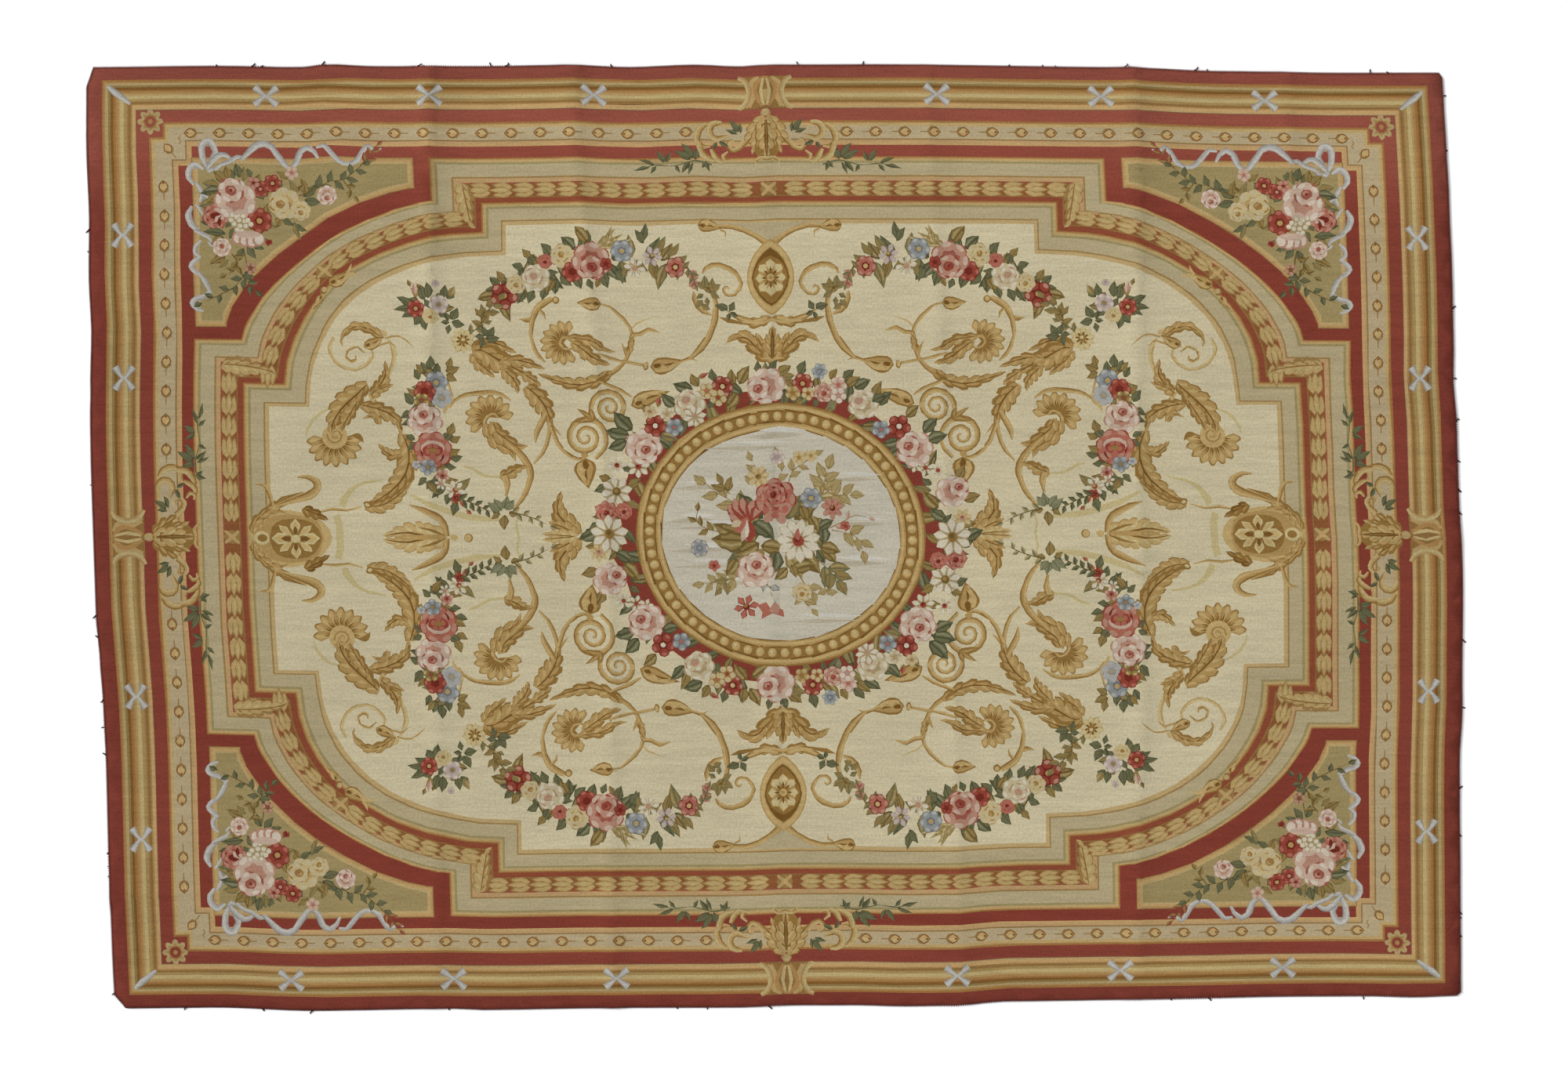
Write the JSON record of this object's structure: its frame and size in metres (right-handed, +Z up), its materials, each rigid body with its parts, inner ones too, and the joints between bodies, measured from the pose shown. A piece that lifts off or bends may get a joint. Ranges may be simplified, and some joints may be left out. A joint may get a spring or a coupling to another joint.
{
  "type": "aubusson rug",
  "caption": "Large flat-woven wool rug, nearly rectangular, with floral wreath, scrolls and moulded borders in its weave and soft fold ridges across it.",
  "frame": {"origin": "on the floor, under the middle of the rug's box", "axes": "+X along the rug's length, +Y across it to the back edge, +Z up out of its face"},
  "size_m": [2.8026, 1.9258, 0.013],
  "materials": {
    "wool_weave": "matt ribbed wool",
    "edge_yarn": "dull twisted wool"
  },
  "bodies": {
    "root": {"woven_rug": "wool_weave"}
  },
  "joints": []
}
